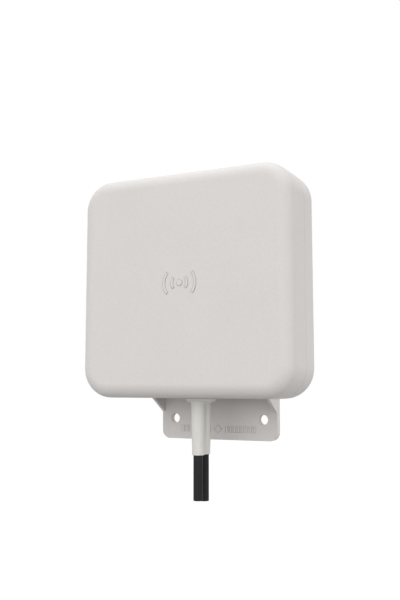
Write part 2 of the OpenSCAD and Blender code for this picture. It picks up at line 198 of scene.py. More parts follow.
def round_upright_corners(piece: Piece, radius: float, steps: int,
                          test: Callable[[Vector], bool] = lambda middle: True) -> None:
    """Rounds the edges of a box that run along Y.

    Args:
        piece: The box.
        radius: The corners' radius.
        steps: How many flats make a corner.
        test: Takes an edge's middle, and says whether it is rounded.
    """
    edit(piece)
    pick(piece, "edges",
         lambda a, b: near(a.x, b.x) and near(a.z, b.z) and test((a + b) / 2))
    bpy.ops.mesh.bevel(offset=radius, segments=steps, affect="EDGES", clamp_overlap=False)
    leave()


def pick_level(piece: Piece, y: float) -> None:
    """Selects the flat face at one depth, in edit mode."""
    pick(piece, "faces", lambda middle, normal: near(middle.y, y) and abs(normal.y) > SQUARE)


def roll_edge(piece: Piece, y: float, radius: float, steps: int, hold: float) -> None:
    """Rolls the side walls of a block into the flat face that lies at one depth.

    Args:
        piece: The block.
        y: The face's place along Y.
        radius: The roll's radius.
        steps: How many flats make the roll.
        hold: Width of the narrow ring that keeps the face's shading flat up to the roll.
    """
    edit(piece)
    pick(piece, "edges", lambda a, b: near(a.y, y) and near(b.y, y))
    bpy.ops.mesh.bevel(offset=radius, segments=steps, affect="EDGES", clamp_overlap=False)
    pick_level(piece, y)
    bpy.ops.mesh.inset(thickness=hold, depth=0)
    leave()


def step_in(piece: Piece, y: float, steps: Outline) -> None:
    """Works a flat face into nested rims, each step an inset and then a rise along Y.

    Args:
        piece: The block.
        y: The face's place along Y.
        steps: Pairs of the inset's width and the move along Y that follows it.
    """
    edit(piece)
    pick_level(piece, y)
    for inward, move in steps:
        bpy.ops.mesh.inset(thickness=inward, depth=0)
        bpy.ops.mesh.extrude_region_move(TRANSFORM_OT_translate={"value": (0, move, 0)})
    leave()


def turned(name: str, along: Along, place: Point, outline: Outline, steps: int = 48,
           ring: bool = False) -> Piece:
    """Turns a piece as on a lathe: a circle that is extruded and resized from rung to rung.

    Args:
        name: The piece's name.
        along: The axis that it stands on.
        place: The axis's two fixed coordinates, X and Z for FORWARDS, X and Y for UPRIGHT.
        outline: Pairs of a radius and a place along the axis, Y or Z, in metres.
        steps: How many flats make the circle.
        ring: Whether the outline comes back to its start, so that the piece has a bore.

    Returns:
        The new object, with its faces pointing outwards.
    """
    forwards = along is Along.FORWARDS

    def at(distance: float) -> Vector:
        """The point of the axis at one place along it."""
        if forwards:
            return Vector((place[0], distance, place[1]))
        return Vector((place[0], place[1], distance))

    clear_selection()
    radius, distance = outline[0]
    bpy.ops.mesh.primitive_circle_add(
        vertices=steps, radius=radius, fill_type="NOTHING" if ring else "NGON",
        location=at(distance), rotation=(math.pi / 2 if forwards else 0, 0, 0))
    piece = settle(name)
    edit(piece)
    bpy.ops.mesh.select_all(action="SELECT")
    for next_radius, next_distance in outline[1:]:
        move = at(next_distance) - at(distance)
        bpy.ops.mesh.extrude_region_move(TRANSFORM_OT_translate={"value": move})
        k = next_radius / radius
        bpy.ops.transform.resize(value=(k, 1, k) if forwards else (k, k, 1),
                                 center_override=at(next_distance))
        radius, distance = next_radius, next_distance
    bpy.ops.mesh.select_all(action="SELECT")
    bpy.ops.mesh.remove_doubles(threshold=0.001 * MM)
    bpy.ops.mesh.normals_make_consistent(inside=False)
    leave()
    return piece


def tube(name: str, place: Point, bore_r: float, outer_r: float, ends: Point,
         steps: int = 32) -> Piece:
    """Turns a plain tube that runs along Y.

    Args:
        name: The piece's name.
        place: Its X and Z.
        bore_r: Its inner radius.
        outer_r: Its outer radius.
        ends: Where it starts and ends along Y.
        steps: How many flats make its circle.

    Returns:
        The tube.
    """
    start, end = ends
    outline = [(bore_r, start), (outer_r, start), (outer_r, end), (bore_r, end), (bore_r, start)]
    return turned(name, Along.FORWARDS, place, outline, steps, ring=True)


def copy_of(piece: Piece, move: Point) -> Piece:
    """Copies a piece with its own mesh and moves the copy's mesh.

    Args:
        piece: The piece to copy.
        move: How far the copy lies from it.

    Returns:
        The copy.
    """
    take(piece)
    bpy.ops.object.duplicate(linked=False)
    bpy.ops.transform.translate(value=move)
    return settle(piece.name)


def join(name: str, pieces: Sequence[Piece]) -> Piece:
    """Joins pieces into one object that keeps the first one's place.

    Args:
        name: The joined piece's name.
        pieces: The pieces, the main one first.

    Returns:
        The joined object.
    """
    take(pieces[0])
    for piece in pieces[1:]:
        piece.select_set(True)
    if len(pieces) > 1:
        bpy.ops.object.join()
    return settle(name)


def work(piece: Piece, kind: str, **settings: object) -> None:
    """Puts a modifier on a piece and applies it.

    Args:
        piece: The piece.
        kind: The modifier's type.
        settings: The modifier's properties.
    """
    take(piece)
    step = piece.modifiers.new("step", kind)
    for key, value in settings.items():
        setattr(step, key, value)
    bpy.ops.object.modifier_apply(modifier=step.name)


def combine(piece: Piece, other: Piece, how: Joint) -> None:
    """Cuts or welds one piece with another, and removes the other."""
    work(piece, "BOOLEAN", operation=how.value, solver="EXACT", object=other)
    bpy.data.objects.remove(other, do_unlink=True)


def drill(piece: Piece, along: Along, places: Sequence[Point], outline: Outline,
          steps: int = 48) -> None:
    """Cuts one turned hole after another.

    Args:
        piece: The piece that is drilled.
        along: The axis that the holes run on.
        places: The holes' fixed coordinates, as in turned.
        outline: The holes' outline, as in turned.
        steps: How many flats make their circle.
    """
    for place in places:
        combine(piece, turned("drill", along, place, outline, steps), Joint.CUT)


def soften(piece: Piece, width: float, steps: int = 2, angle: float = 50) -> None:
    """Breaks a piece's sharp edges, as a mould does.

    Args:
        piece: The piece.
        width: The edge's width.
        steps: How many flats make it.
        angle: Edges that turn by less than this many degrees stay as they are.
    """
    work(piece, "BEVEL", width=width, segments=steps, limit_method="ANGLE",
         angle_limit=math.radians(angle), use_clamp_overlap=True, miter_outer="MITER_ARC")


def wall(piece: Piece, thickness: float) -> None:
    """Gives an open shell, whose faces point outwards, a wall that grows inwards."""
    work(piece, "SOLIDIFY", thickness=thickness, offset=-1, use_even_offset=True)


def shade(piece: Piece, angle: float = 32) -> None:
    """Shades a piece smooth across its rounded edges and keeps its large faces flat.

    Args:
        piece: The piece.
        angle: Edges that turn by more than this many degrees stay sharp.
    """
    take(piece)
    bpy.ops.object.shade_smooth_by_angle(angle=math.radians(angle))
    work(piece, "WEIGHTED_NORMAL", mode="FACE_AREA", weight=100, keep_sharp=True)


def raise_marks(piece: Piece, face: float, height: float,
                shapes: Callable[[Reach], list[Piece]]) -> list[Piece]:
    """Makes a face's raised marks, each in a narrow moat whose shade draws its outline.

    Args:
        piece: The piece that the moats are cut in.
        face: The face's place along Y.
        height: How far the marks stand out from it.
        shapes: Models the marks.

    Returns:
        The marks, for the piece to be joined with.
    """
    moats = shapes(Reach(MOAT_W, face - PAST, face + MOAT_D))
    combine(piece, join("moats", moats), Joint.CUT)
    marks = shapes(Reach(0, face - height, face + 2 * MOAT_D))
    for mark in marks:
        soften(mark, 0.1 * MM)
    return marks


def corner_places(node: str, reach: float) -> Places:
    """The four places, X and Z, that lie a reach in from the corners of a CAD node's box."""
    low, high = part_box(node)
    return [(x, z) for x in (low.x + reach, high.x - reach)
            for z in (low.z + reach, high.z - reach)]


# ---------------------------------------------------------------- finishes


def linear(colour: str) -> tuple[float, float, float, float]:
    """Turns an sRGB hex colour into the linear colour that a shader takes.

    Args:
        colour: Six hex digits.

    Returns:
        Linear red, green and blue, and a full alpha.
    """
    parts = [int(colour[i:i + 2], 16) / 255 for i in (0, 2, 4)]
    r, g, b = [c / 12.92 if c <= 0.04045 else ((c + 0.055) / 1.055) ** 2.4 for c in parts]
    return r, g, b, 1.0


def add_node(tree: bpy.types.NodeTree, kind: str, settings: dict[str, Value] | None = None,
             links: dict[str | int, Value] | None = None) -> bpy.types.Node:
    """Adds a node with its settings, and fills or links its inputs.

    Args:
        tree: The material's or the world's node tree.
        kind: The node's type.
        settings: The node's own properties.
        links: Values or other nodes' outputs for its inputs.

    Returns:
        The new node.
    """
    node = tree.nodes.new(kind)
    for key, value in (settings or {}).items():
        setattr(node, key, value)
    for key, value in (links or {}).items():
        if isinstance(value, Socket):
            tree.links.new(value, node.inputs[key])
        else:
            node.inputs[key].default_value = value
    return node


def reckon(tree: bpy.types.NodeTree, operation: str, *values: Value) -> Socket:
    """Adds a sum of up to three values and gives its socket."""
    return add_node(tree, "ShaderNodeMath", {"operation": operation},
                    dict(enumerate(values))).outputs[0]


class Texture(Enum):
    """A texture node's type, and which of its outputs holds its value."""

    NOISE = ("ShaderNodeTexNoise", 0)
    CELLS = ("ShaderNodeTexVoronoi", 0)
    WAVES = ("ShaderNodeTexWave", 1)
    CHECKS = ("ShaderNodeTexChecker", 1)


class Look:
    """A material in the making: its shader, and the patterns that drive it."""

    def __init__(self, name: str) -> None:
        """Starts the material with its shader and the place that its patterns are laid by.

        Args:
            name: The material's name.
        """
        self.material = bpy.data.materials.new(name)
        self.material.use_nodes = True
        self.tree = self.material.node_tree
        self.shader = self.tree.nodes["Principled BSDF"]
        self.place = add_node(self.tree, "ShaderNodeTexCoord").outputs["Object"]

    def pattern(self, kind: Texture, size: float | Point, turn: Point = (0, 0, 0),
                **inputs: float) -> Socket:
        """Adds a texture.

        Args:
            kind: Which texture.
            size: The size of its features in metres, one size or one for each axis.
            turn: How it is turned about each axis, in radians.
            inputs: The texture's other inputs.

        Returns:
            The socket of its value.
        """
        node_type, output = kind.value
        scale = 1.0
        if isinstance(size, float):
            scale, size = 1 / size, (1.0, 1.0, 1.0)
        lay = add_node(self.tree, "ShaderNodeMapping", links={
            "Vector": self.place, "Rotation": turn, "Scale": tuple(1 / part for part in size)})
        texture = add_node(self.tree, node_type, links={
            "Vector": lay.outputs[0], "Scale": scale, **inputs})
        return texture.outputs[output]

    def spread(self, value: Value, span: Point, to: Point = (0.0, 1.0)) -> Socket:
        """Stretches a pattern's value from one span to another, clamped."""
        return add_node(self.tree, "ShaderNodeMapRange", {"clamp": True}, {
            0: value, 1: span[0], 2: span[1], 3: to[0], 4: to[1]}).outputs[0]

    def colour(self, factor: Value, first: str, second: str) -> None:
        """Colours the material between two hex colours, by a factor."""
        mix = add_node(self.tree, "ShaderNodeMix", {"data_type": "RGBA"},
                       {0: factor, 6: linear(first), 7: linear(second)})
        self.tree.links.new(mix.outputs[2], self.shader.inputs["Base Color"])

    def roughness(self, value: Value, low: float, high: float) -> None:
        """Lets a noise's value set the roughness, between what it is at its low and its high."""
        self.tree.links.new(self.spread(value, NOISE_SPAN, (low, high)),
                            self.shader.inputs["Roughness"])

    def bump(self, height: Value, depth: float, strength: float) -> None:
        """Raises the surface by a pattern.

        Args:
            height: The pattern.
            depth: How far the surface rises where the pattern's value is 1, in metres.
            strength: The bump's share in the shading.
        """
        bump = add_node(self.tree, "ShaderNodeBump", links={
            "Height": height, "Distance": depth, "Strength": strength})
        self.tree.links.new(bump.outputs[0], self.shader.inputs["Normal"])

    def done(self, **inputs: float) -> bpy.types.Material:
        """Sets the shader's other inputs and gives the material.

        Args:
            inputs: Values by the inputs' names, with underscores for spaces.

        Returns:
            The finished material.
        """
        for name, value in inputs.items():
            self.shader.inputs[name.replace("_", " ")].default_value = value
        return self.material


@dataclass(frozen=True)
class TexturedPlastic:
    """ASA, injection moulded in a spark-eroded mould.

    To the eye it is a warm light grey with an even, fine leathery grain, soft broad highlights
    on its rolled edges and no mirror reflections.
    """

    name: str = "asa_spark_eroded_light_grey"
    colour: str = "DCD8D6"
    shadow_colour: str = "D3CFCC"
    # The real grain is about 0.2 mm across, drawn at 0.9 mm as a finer one would not show
    grain: float = 0.9 * MM
    fine_grain: float = 0.35 * MM
    grain_depth: float = 0.035 * MM
    flow: float = 45 * MM
    roughness: float = 0.52

    def make(self) -> bpy.types.Material:
        """Makes the material.

        Returns:
            The material.
        """
        look = Look(self.name)
        grain = look.pattern(Texture.NOISE, self.grain, Detail=3.0, Roughness=0.55)
        fine = look.pattern(Texture.NOISE, self.fine_grain, Detail=1.0)
        flow = look.pattern(Texture.NOISE, self.flow, Detail=2.0)
        # The grain's pits read a touch darker, and the melt's flow shifts the tone slightly
        pits = look.spread(grain, (0.35, 0.65), (0, 0.5))
        look.colour(reckon(look.tree, "MULTIPLY_ADD", flow, 0.5, pits),
                    self.shadow_colour, self.colour)
        look.roughness(grain, self.roughness + 0.06, self.roughness - 0.06)
        look.bump(reckon(look.tree, "MULTIPLY_ADD", fine, 0.35, grain), self.grain_depth, 0.8)
        return look.done(IOR=1.49, Specular_IOR_Level=0.35)


@dataclass(frozen=True)
class MouldedRubber:
    """Thermoplastic elastomer, moulded with a smooth satin skin.

    To the eye it is even and soft, with a slightly waxy sheen and faint draw marks.
    """

    name: str
    colour: str
    shadow_colour: str
    # Draw marks left by the mould, drawn wider than the real 0.1 mm so that they show
    draw_mark: Point = (0.8 * MM, 0.8 * MM, 12 * MM)
    skin: float = 0.4 * MM
    skin_depth: float = 0.012 * MM
    roughness: float = 0.5

    def make(self) -> bpy.types.Material:
        """Makes the material.

        Returns:
            The material.
        """
        look = Look(self.name)
        marks = look.pattern(Texture.NOISE, self.draw_mark, Detail=2.0)
        skin = look.pattern(Texture.NOISE, self.skin, Detail=2.0)
        look.colour(look.spread(marks, NOISE_SPAN), self.shadow_colour, self.colour)
        look.roughness(marks, self.roughness + 0.07, self.roughness - 0.05)
        look.bump(skin, self.skin_depth, 0.6)
        return look.done(IOR=1.5, Specular_IOR_Level=0.35)


@dataclass(frozen=True)
class ExtrudedJacket:
    """PVC cable jacket, extruded over the braid.

    To the eye it is a soft, nearly matt black with long faint draw lines, which also carry a
    painted sheen as a slightly lighter colour, and a slight swell where the braid presses through.
    """

    name: str = "pvc_cable_jacket_black"
    colour: str = "29292A"
    # The draw lines' lighter colour, a painted lengthwise sheen rather than wear
    sheen_and_draw_line_colour: str = "323233"
    # Draw lines are about 0.05 mm wide on a real jacket, drawn at 0.5 mm so that they show
    draw_line: Point = (0.5 * MM, 0.5 * MM, 30 * MM)
    braid_pitch: float = 2.4 * MM
    braid_swell: float = 0.02 * MM
    roughness: float = 0.46

    def make(self) -> bpy.types.Material:
        """Makes the material.

        Returns:
            The material.
        """
        look = Look(self.name)
        lines = look.pattern(Texture.NOISE, self.draw_line, Detail=3.0)
        swell = look.pattern(Texture.CELLS, self.braid_pitch)
        # Draw lines lighten the black, painting a sheen along the lead
        look.colour(look.spread(lines, (0.35, 0.75)), self.colour, self.sheen_and_draw_line_colour)
        look.roughness(lines, self.roughness + 0.08, self.roughness - 0.06)
        look.bump(reckon(look.tree, "MULTIPLY_ADD", lines, 0.4, swell), self.braid_swell, 0.7)
        return look.done(IOR=1.53, Specular_IOR_Level=0.06)


@dataclass(frozen=True)
class WorkedMetal:
    """A metal with a directional surface, brushed sheet or turned bar.

    To the eye it is bright and a little hazy, with fine lines that stretch its highlights,
    and with the odd duller patch from handling.
    """

    name: str
    colour: str
    dull_colour: str
    # Brush or tool lines are about 0.05 mm apart, drawn coarser so that they show
    line: Point = (0.3 * MM, 0.3 * MM, 8 * MM)
    patch: float = 9 * MM
    line_depth: float = 0.008 * MM
    roughness: float = 0.3

    def make(self) -> bpy.types.Material:
        """Makes the material.

        Returns:
            The material.
        """
        look = Look(self.name)
        lines = look.pattern(Texture.NOISE, self.line, Detail=2.0)
        patch = look.pattern(Texture.NOISE, self.patch, Detail=3.0)
        look.colour(look.spread(patch, (0.35, 0.65)), self.dull_colour, self.colour)
        look.roughness(lines, self.roughness + 0.1, self.roughness - 0.06)
        look.bump(lines, self.line_depth, 0.6)
        return look.done(Metallic=1.0)


@dataclass(frozen=True)
class WovenBraid:
    """Tinned copper braid, wound crosswise round the lead's dielectric.

    To the eye it is a silvery weave of crossing strands with dark gaps.
    """

    name: str = "tinned_copper_braid"
    colour: str = "CBC8C2"
    gap_colour: str = "6E6A64"
    strand: float = 0.5 * MM
    # How many waves of the texture make a strand's width, and how the strands lie, in radians
    waves: float = 0.3
    lay: float = 0.9
    strand_depth: float = 0.08 * MM
    roughness: float = 0.34

    def make(self) -> bpy.types.Material:
        """Makes the material.

        Returns:
            The material.
        """
        look = Look(self.name)
        one_way, other_way = [
            look.pattern(Texture.WAVES, self.strand / self.waves, (0, lay, lay), Distortion=0.0)
            for lay in (self.lay, -self.lay)]
        weave = reckon(look.tree, "MULTIPLY", one_way, other_way)
        look.colour(look.spread(weave, (0.05, 0.4)), self.gap_colour, self.colour)
        look.bump(weave, self.strand_depth, 0.8)
        return look.done(Metallic=1.0, Roughness=self.roughness)


@dataclass(frozen=True)
class SolderMask:
    """FR-4 laminate under a green solder mask.

    To the eye it is a glossy green with the glass cloth's square weave just showing through.
    """

    name: str = "fr4_green_solder_mask"
    colour: str = "2B6B45"
    weave_colour: str = "215638"
    # Glass cloth has about 0.6 mm between threads
    thread: float = 0.6 * MM
    thread_depth: float = 0.01 * MM
    cloud: float = 4 * MM
    roughness: float = 0.24

    def make(self) -> bpy.types.Material:
        """Makes the material.

        Returns:
            The material.
        """
        look = Look(self.name)
        weave = look.pattern(Texture.CHECKS, self.thread)
        cloud = look.pattern(Texture.NOISE, self.cloud, Detail=3.0)
        look.colour(reckon(look.tree, "MULTIPLY", weave, cloud), self.colour, self.weave_colour)
        look.roughness(cloud, self.roughness, self.roughness + 0.12)
        look.bump(weave, self.thread_depth, 0.4)
        return look.done(IOR=1.55)


@dataclass(frozen=True)
class NaturalPolymer:
    """Nylon or foamed polyethylene, in its natural milky white.

    To the eye it is a slightly see-through white that takes a soft glow, with a fine bubbly
    grain.
    """

    name: str
    colour: str = "EBE9E1"
    deep_colour: str = "DFDCD0"
    bubble: float = 0.45 * MM
    bubble_depth: float = 0.02 * MM
    roughness: float = 0.42
    glow: float = 0.15
    glow_reach: float = 1.5 * MM

    def make(self) -> bpy.types.Material:
        """Makes the material.

        Returns:
            The material.
        """
        look = Look(self.name)
        bubbles = look.pattern(Texture.CELLS, self.bubble)
        look.colour(look.spread(bubbles, (0.0, 0.9)), self.colour, self.deep_colour)
        look.bump(bubbles, self.bubble_depth, 0.5)
        return look.done(Roughness=self.roughness, IOR=1.51, Subsurface_Weight=self.glow,
                         Subsurface_Scale=self.glow_reach)


TURNED_LINE = (0.25 * MM, 4 * MM, 0.25 * MM)
BRUSHED_LINE = (12 * MM, 0.3 * MM, 0.3 * MM)

# What each of the record's material slots is finished in
SLOT_FINISHES = {
    "shell": TexturedPlastic(),
    "bracket": TexturedPlastic(name="asa_spark_eroded_light_grey_bracket", grain=0.8 * MM),
    "boot": MouldedRubber("tpe_moulded_pale_grey", "E1E0DB", "DBDAD4"),
    "gasket": MouldedRubber("epdm_foam_black", "242425", "1A1A1B", roughness=0.7,
                            skin_depth=0.05 * MM),
    "screws": WorkedMetal("stainless_steel_turned", "C4C5C7", "AEB0B3", line=TURNED_LINE),
    "brass_parts": WorkedMetal("brass_turned", "D0AD5E", "B08F48", line=TURNED_LINE),
    "sheet_metal": WorkedMetal("aluminium_sheet_brushed", "D0D2D4", "BFC1C4",
                               line=BRUSHED_LINE),
    "circuit_board": SolderMask(),
    "copper": WorkedMetal("copper_foil_bare", "D08E62", "B07049", roughness=0.36),
    "nylon": NaturalPolymer("nylon_natural"),
    "clamp_plastic": MouldedRubber("glass_filled_nylon_black", "202021", "29292A",
                                   roughness=0.55),
    "lead_jacket": ExtrudedJacket(),
    "lead_braid": WovenBraid(),
    "lead_dielectric": NaturalPolymer("polyethylene_foamed_natural", bubble=0.3 * MM, glow=0.25),
}


class Paintbox:
    """Makes each slot's material once and hands it out."""

    def __init__(self) -> None:
        """Starts with no material made."""
        self.made: dict[str, bpy.types.Material] = {}

    def material(self, slot: str) -> bpy.types.Material:
        """Hands out the material of a slot, made when it is first asked for.

        Args:
            slot: One of the record's material slots.

        Returns:
            The material.
        """
        if slot not in self.made:
            self.made[slot] = SLOT_FINISHES[slot].make()
        return self.made[slot]

    def dress(self, piece: Piece, slot: str) -> None:
        """Gives a piece one of the slots' materials, and nothing else."""
        piece.data.materials.clear()
        piece.data.materials.append(self.material(slot))

    def deliver(self, piece: Piece, slot: str, *nodes: str) -> Piece:
        """Dresses a finished piece, fixes it to the body and lets it stand for its CAD nodes.

        Args:
            piece: The finished piece.
            slot: The record's material slot.
            nodes: The CAD nodes that it replaces.

        Returns:
            The same piece.
        """
        self.dress(piece, slot)
        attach(piece, BODY)
        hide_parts(*nodes)
        log.info("%s: %d faces, stands for %s", piece.name, len(piece.data.polygons),
                 ", ".join(nodes))
        return piece


# ---------------------------------------------------------------- the housing


@dataclass
class Housing:
    """The radome, the rear cover behind it and the vent cap."""

    corner_r: float = 20 * MM
    front_r: float = 9 * MM
    back_r: float = 1.5 * MM
    wall: float = 2.5 * MM
    lean: float = 0.4 * MM
    hold: float = 0.4 * MM
    lip_inset: float = 2.7 * MM
    lip_t: float = 1.5 * MM
    lip_h: float = 3 * MM
    # The gasket's groove: how far in it lies, its width and its depth
    groove: Point = (0.55 * MM, 1.4 * MM, 1.2 * MM)
    mark_h: float = 0.4 * MM
    mark_radii: Point = (6.2 * MM, 12 * MM)
    mark_dot_r: float = 2 * MM
    mark_stroke: float = 1.5 * MM
    mark_half_angle: float = 36.87
    post_r: float = 4 * MM
    post_bore_r: float = 1.5 * MM
    cover_bore_r: float = 1.65 * MM
    # How far a post stands in its wall, how far behind the front it ends, and its foot's depth
    post_in_wall: float = 1 * MM
    post_top: float = 12 * MM
    post_foot: float = 0.2 * MM
    head_bore_r: float = 3.1 * MM
    head_bore_d: float = 3 * MM
    head_chamfer: float = 0.4 * MM
    # The cover's bosses: the node that they hold, their radius, their reach in from its box
    tray_boss: tuple[str, float, float] = ("reflector_screws", 3.5 * MM, 2.3 * MM)
    insert_boss: tuple[str, float, float] = ("bracket_inserts", 4.5 * MM, 3.5 * MM)
    # A boss's foot: how much wider it is, how deep it stands in the floor and how high it goes
    boss_foot: Point = (0.4 * MM, 0.3 * MM, 0.5 * MM)
    boot_neck_r: float = 4.85 * MM
    vent_neck_r: float = 3 * MM
    # The vent cap's face from its rim inwards: how far in, and how far below its top
    vent_face: Outline = ((0.0, 0.6 * MM), (0.2 * MM, 0.25 * MM), (0.7 * MM, 0.0),
                          (1.6 * MM, 0.0), (1.8 * MM, 0.3 * MM), (2.4 * MM, 0.3 * MM),
                          (2.6 * MM, 0.0))
    vent_slots: int = 8
    vent_slot_r: float = 0.55 * MM
    steps: int = 14
    paint: Paintbox = field(default_factory=Paintbox)

    def __post_init__(self) -> None:
        """Reads the housing's place from the frame."""
        self.front_low, self.front_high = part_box("front_radome")
        self.rear_low, self.rear_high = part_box("rear_cover")
        self.seam = self.rear_low.y + self.lip_h
        self.back = self.rear_high.y
        self.radome_back = self.front_high.y
        self.front = self.front_low.y + self.mark_h
        self.mid_z = (self.rear_low.z + self.rear_high.z) / 2

    def posts(self) -> Places:
        """The screw posts' places, X and Z, one in each corner and one half way up each side.

        Returns:
            The four corners' places and then the two sides'.
        """
        half_w, half_h = self.rear_high.x, (self.rear_high.z - self.rear_low.z) / 2
        reach = self.wall - self.post_in_wall + self.post_r
        out = (self.corner_r - reach) / math.sqrt(2) - self.corner_r
        corners = [(x * (half_w + out), self.mid_z + z * (half_h + out))
                   for x in (-1, 1) for z in (-1, 1)]
        return corners + [(x * (half_w - reach), self.mid_z) for x in (-1, 1)]

    def notch(self, piece: Piece) -> None:
        """Cuts the room that the boot's neck takes out of the lower side, at the seam.

        Args:
            piece: The radome or the cover.
        """
        low, high = self.rear_low.z - PAST, self.rear_low.z + self.wall + 2 * PAST
        drill(piece, Along.UPRIGHT, [(0, y) for y in LEAD_Y],
              [(self.boot_neck_r, low), (self.boot_neck_r, high)])
        web = block("notch_tool", (-self.boot_neck_r, LEAD_Y[0], low),
                    (self.boot_neck_r, LEAD_Y[1], high))
        combine(piece, web, Joint.CUT)

    def wave_arc(self, radius: float, side: int, reach: Reach) -> Piece:
        """Models one arc of the wave mark by spinning its section half way, and mirroring that.

        Args:
            radius: The arc's outer radius.
            side: 1 for the right arcs, -1 for the left ones.
            reach: How far it reaches.

        Returns:
            The arc.
        """
        thin, grow = 0.01 * MM, reach.grow
        arc = block("wave_arc", (radius - self.mark_stroke - grow, reach.top, self.mid_z - thin),
                    (radius + grow, reach.foot, self.mid_z))
        edit(arc)
        pick(arc, "faces", lambda middle, normal: normal.z < -SQUARE)
        bpy.ops.mesh.delete(type="FACE")
        pick(arc, "faces", lambda middle, normal: normal.z > SQUARE)
        centre = (0, self.front, self.mid_z)
        bpy.ops.mesh.spin(steps=18, angle=math.radians(self.mark_half_angle) + grow / radius,
                          center=centre, axis=(0, -1, 0), dupli=False)
        leave()
        other = copy_of(arc, (0, 0, 0))
        edit(other)
        bpy.ops.mesh.select_all(action="SELECT")
        bpy.ops.transform.mirror(constraint_axis=(False, False, True), center_override=centre)
        leave()
        arc = join("wave_arc", [arc, other])
        edit(arc)
        bpy.ops.mesh.select_all(action="SELECT")
        if side < 0:
            bpy.ops.transform.mirror(constraint_axis=(True, False, False), center_override=centre)
        bpy.ops.mesh.remove_doubles(threshold=2 * thin)
        bpy.ops.mesh.normals_make_consistent(inside=False)
        leave()
        return arc

    def wave_shapes(self, reach: Reach) -> list[Piece]:
        """Models the front's plain sign for radio waves, a dot between four arcs.

        Args:
            reach: How far the shapes reach.

        Returns:
            The dot and the arcs.
        """
        dot_r = self.mark_dot_r + reach.grow
        dot = turned("wave_dot", Along.FORWARDS, (0, self.mid_z),
                     [(dot_r, reach.foot), (dot_r, reach.top)])
        return [dot] + [self.wave_arc(r, side, reach)
                        for side in (1, -1) for r in self.mark_radii]

    def radome(self) -> Piece:
        """Models the radome: a deep shell whose sides lean in and roll into the flat front.

        Returns:
            The radome.
        """
        shell = block("radome", (self.front_low.x, self.front, self.front_low.z),
                      (self.front_high.x, self.radome_back, self.front_high.z))
        round_upright_corners(shell, self.corner_r, self.steps)
        roll_edge(shell, self.front, self.front_r, self.steps, self.hold)
        edit(shell)
        pick(shell, "verts", lambda place: place.y < self.radome_back - 1 * MM)
        k = 1 - self.lean / self.front_high.x
        bpy.ops.transform.resize(value=(k, 1, k), center_override=(0, self.front, self.mid_z))
        pick(shell, "faces", lambda middle, normal: normal.y > SQUARE)
        bpy.ops.mesh.delete(type="FACE")
        leave()
        wall(shell, self.wall)
        ends = (self.radome_back, self.front + self.post_top)
        posts = [tube("radome_post", place, self.post_bore_r, self.post_r, ends)
                 for place in self.posts()]
        self.notch(shell)
        soften(shell, 0.35 * MM)
        marks = raise_marks(shell, self.front, self.mark_h, self.wave_shapes)
        shell = join("radome_shell", [shell] + posts + marks)
        shade(shell)
        return shell

    def bosses(self, floor: float) -> list[Piece]:
        """Models the bosses that the tray's screws and the bracket's inserts stand in.

        Args:
            floor: The place of the cover's inner face along Y.

        Returns:
            The bosses, four of each.
        """
        wider, deep, high = self.boss_foot
        tops = (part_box("reflector_tray")[1].y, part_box("bracket_inserts")[0].y)
        return [turned("cover_boss", Along.FORWARDS, place,
                       [(radius + wider, floor + deep), (radius, floor - high), (radius, top)], 32)
                for (node, radius, reach), top in zip((self.tray_boss, self.insert_boss), tops)
                for place in corner_places(node, reach)]

    def cover(self) -> Piece:
        """Models the rear cover, with its gasket groove, its lip and its screw bores.

        Returns:
            The cover.
        """
        shell = block("rear_cover_shell", (self.rear_low.x, self.seam, self.rear_low.z),
                      (self.rear_high.x, self.back, self.rear_high.z))
        round_upright_corners(shell, self.corner_r, self.steps)
        roll_edge(shell, self.back, self.back_r, 5, self.hold)
        groove_in, groove_w, groove_d = self.groove
        floor = self.back - self.wall
        step_in(shell, self.seam, [
            (groove_in, groove_d), (groove_w, -groove_d),
            (self.lip_inset - groove_in - groove_w, -self.lip_h),
            (self.lip_t, floor - self.seam + self.lip_h)])
        drill(shell, Along.FORWARDS, self.posts(), [
            (self.head_bore_r + self.head_chamfer + PAST, self.back + PAST),
            (self.head_bore_r, self.back - self.head_chamfer),
            (self.head_bore_r, self.back - self.head_bore_d),
            (self.post_bore_r, self.back - self.head_bore_d),
            (self.post_bore_r, self.seam - PAST)], 40)
        self.notch(shell)
        ends = (floor + self.post_foot, self.radome_back)
        posts = [tube("cover_post", place, self.cover_bore_r, self.post_r, ends)
                 for place in self.posts()]
        bosses = self.bosses(floor)
        soften(shell, 0.25 * MM)
        shell = join("rear_cover_shell", [shell] + posts + bosses)
        shade(shell)
        return shell

    def vent(self) -> Piece:
        """Models the vent cap: a low domed button with slots round its edge.

        Returns:
            The cap.
        """
        low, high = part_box("vent_plug")
        x, z = (low.x + high.x) / 2, (low.z + high.z) / 2
        r, top = (high.x - low.x) / 2, high.y
        ease = 0.2 * MM
        cap = turned("vent_cap", Along.FORWARDS, (x, z), [
            (self.vent_neck_r, low.y), (self.vent_neck_r, self.back),
            (r - ease, self.back), (r, self.back + ease)]
            + [(r - inward, top - down) for inward, down in self.vent_face]
            + [(2 * ease, top)], 64)
        turns = [i * 2 * math.pi / self.vent_slots for i in range(self.vent_slots)]
        drill(cap, Along.FORWARDS, [(x + r * math.cos(a), z + r * math.sin(a)) for a in turns],
              [(self.vent_slot_r, self.back), (self.vent_slot_r, top + PAST)], 16)
        cap = join("vent_cap", [cap])
        shade(cap)
        return cap

    def build(self) -> None:
        """Builds the housing's visible pieces and hands them over."""
        self.paint.deliver(self.radome(), "shell", "front_radome")
        self.paint.deliver(self.cover(), "shell", "rear_cover")
        self.paint.deliver(self.vent(), "shell", "vent_plug")


# ---------------------------------------------------------------- screws


class Drive(Enum):
    """The recess in a screw's head."""

    CROSS = "cross"
    HEXALOBULAR = "hexalobular"


